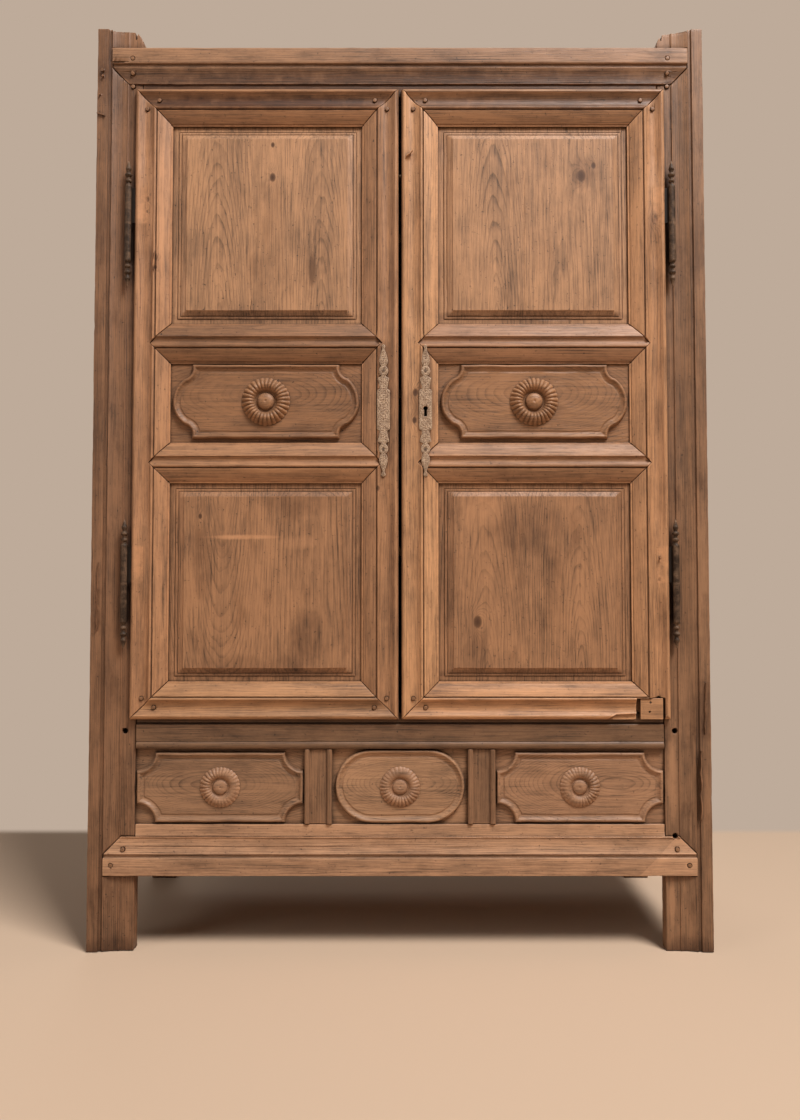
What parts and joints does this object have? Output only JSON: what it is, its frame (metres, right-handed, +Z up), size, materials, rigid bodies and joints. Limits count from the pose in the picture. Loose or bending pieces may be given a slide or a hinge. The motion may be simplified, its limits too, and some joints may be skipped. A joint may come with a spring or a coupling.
{
  "type": "cupboard",
  "caption": "Tall two-door panelled wooden cupboard on short post legs, with mitred raised-panel doors, carved rosettes, iron barrel hinges, lock and a panelled apron.",
  "frame": {"origin": "floor level, under the centre of the overall box", "axes": "+X to the right seen from the front, +Y from front to back, +Z up; the doors face -Y"},
  "size_m": [1.45, 0.6343, 2.184],
  "materials": {
    "carcass_wood": "old waxed softwood, worn, satin",
    "door_frame_wood": "waxed honey-brown softwood, satin",
    "door_panel_wood": "waxed brown softwood, satin",
    "apron_wood": "waxed greyish brown oak, satin",
    "rosette_wood": "carved, waxed, darker in the hollows",
    "inner_pine": "unfinished old pine, matt",
    "peg_wood": "end grain, waxed",
    "dark_iron": "forged iron, dark, worn brighter on the ridges",
    "plate_iron": "dull pale iron with brown patina"
  },
  "bodies": {
    "carcass": {"apron_centre_panel": "apron_wood", "apron_left_panel": "apron_wood", "apron_muntins": "apron_wood", "apron_right_panel": "apron_wood", "apron_rosettes": "apron_wood", "back_boards": "inner_pine", "bottom_front_rail": "carcass_wood", "carcass_pegs": "peg_wood", "floor_boards": "inner_pine", "front_left_post": "carcass_wood", "front_right_post": "carcass_wood", "hinge_pins": "dark_iron", "left_side_panels": "carcass_wood", "left_side_rails": "carcass_wood", "post_hinge_knuckles": "dark_iron", "rear_left_post": "carcass_wood", "rear_rails": "inner_pine", "rear_right_post": "carcass_wood", "right_side_panels": "carcass_wood", "right_side_rails": "carcass_wood", "shelf_cleats": "inner_pine", "shelves": "inner_pine", "top_boards": "inner_pine", "top_front_rail": "carcass_wood", "waist_rail": "carcass_wood"},
    "left_door": {"left_bottom_rail": "door_frame_wood", "left_door_nails": "dark_iron", "left_door_pegs": "peg_wood", "left_escutcheon": "plate_iron", "left_hinge_knuckles": "dark_iron", "left_hinge_stile": "door_frame_wood", "left_lower_crossrail": "door_frame_wood", "left_lower_panel": "door_panel_wood", "left_meeting_stile": "door_frame_wood", "left_middle_panel": "door_panel_wood", "left_rosette": "rosette_wood", "left_top_rail": "door_frame_wood", "left_upper_crossrail": "door_frame_wood", "left_upper_panel": "door_panel_wood", "lock_keeper": "dark_iron", "bolt_brackets": "dark_iron"},
    "right_door": {"right_bottom_rail": "door_frame_wood", "right_door_nails": "dark_iron", "right_door_pegs": "peg_wood", "right_escutcheon": "plate_iron", "right_hinge_knuckles": "dark_iron", "right_hinge_stile": "door_frame_wood", "right_lower_crossrail": "door_frame_wood", "right_lower_panel": "door_panel_wood", "right_meeting_stile": "door_frame_wood", "right_middle_panel": "door_panel_wood", "right_rosette": "rosette_wood", "right_top_rail": "door_frame_wood", "right_upper_crossrail": "door_frame_wood", "right_upper_panel": "door_panel_wood", "repair_block": "door_frame_wood", "lock_case": "dark_iron"},
    "lock_bolt": {"lock_bolt": "dark_iron"},
    "top_bolt": {"top_bolt": "dark_iron"},
    "bottom_bolt": {"bottom_bolt": "dark_iron"}
  },
  "joints": [
    {"name": "left_door_hinge", "type": "hinge", "parent": "carcass", "child": "left_door", "pos_m": [-0.645, -0.30888, 0.535], "axis": [0, 0, -1], "range_deg": [0, 170]},
    {"name": "right_door_hinge", "type": "hinge", "parent": "carcass", "child": "right_door", "pos_m": [0.645, -0.30888, 0.535], "axis": [0, 0, 1], "range_deg": [0, 170]},
    {"name": "lock_bolt_slide", "type": "slide", "parent": "right_door", "child": "lock_bolt", "axis": [-1, 0, 0], "range_m": [0, 0.02]},
    {"name": "top_bolt_slide", "type": "slide", "parent": "left_door", "child": "top_bolt", "axis": [0, 0, 1], "range_m": [0, 0.026]},
    {"name": "bottom_bolt_slide", "type": "slide", "parent": "left_door", "child": "bottom_bolt", "axis": [0, 0, -1], "range_m": [0, 0.026]}
  ]
}
